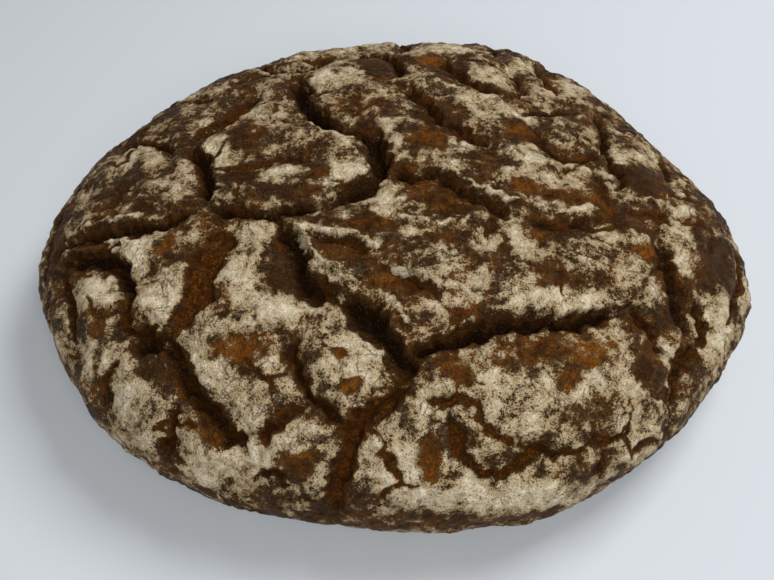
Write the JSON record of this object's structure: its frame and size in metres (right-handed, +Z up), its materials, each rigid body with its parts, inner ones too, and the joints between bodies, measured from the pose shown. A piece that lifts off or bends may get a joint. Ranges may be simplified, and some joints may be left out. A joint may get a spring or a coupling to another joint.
{
  "type": "hearth-baked rye loaf",
  "caption": "Oval farmhouse rye loaf baked free on the oven floor, a low dome with a flat base and a floured crust torn into plates by deep fissures.",
  "frame": {"origin": "bottom centre of the bounding box, on the surface that the loaf rests on", "axes": "+X along the loaf's long way, +Y towards its back, +Z up from the base to the crown"},
  "size_m": [0.3392, 0.2958, 0.0863],
  "materials": {
    "crust": "dark red-brown baked crust with amber stretched spots, dusted with pale rye flour that lies in ragged patches on the plates and is missing in the fissures"
  },
  "bodies": {
    "root": {"loaf": "crust"}
  },
  "joints": []
}
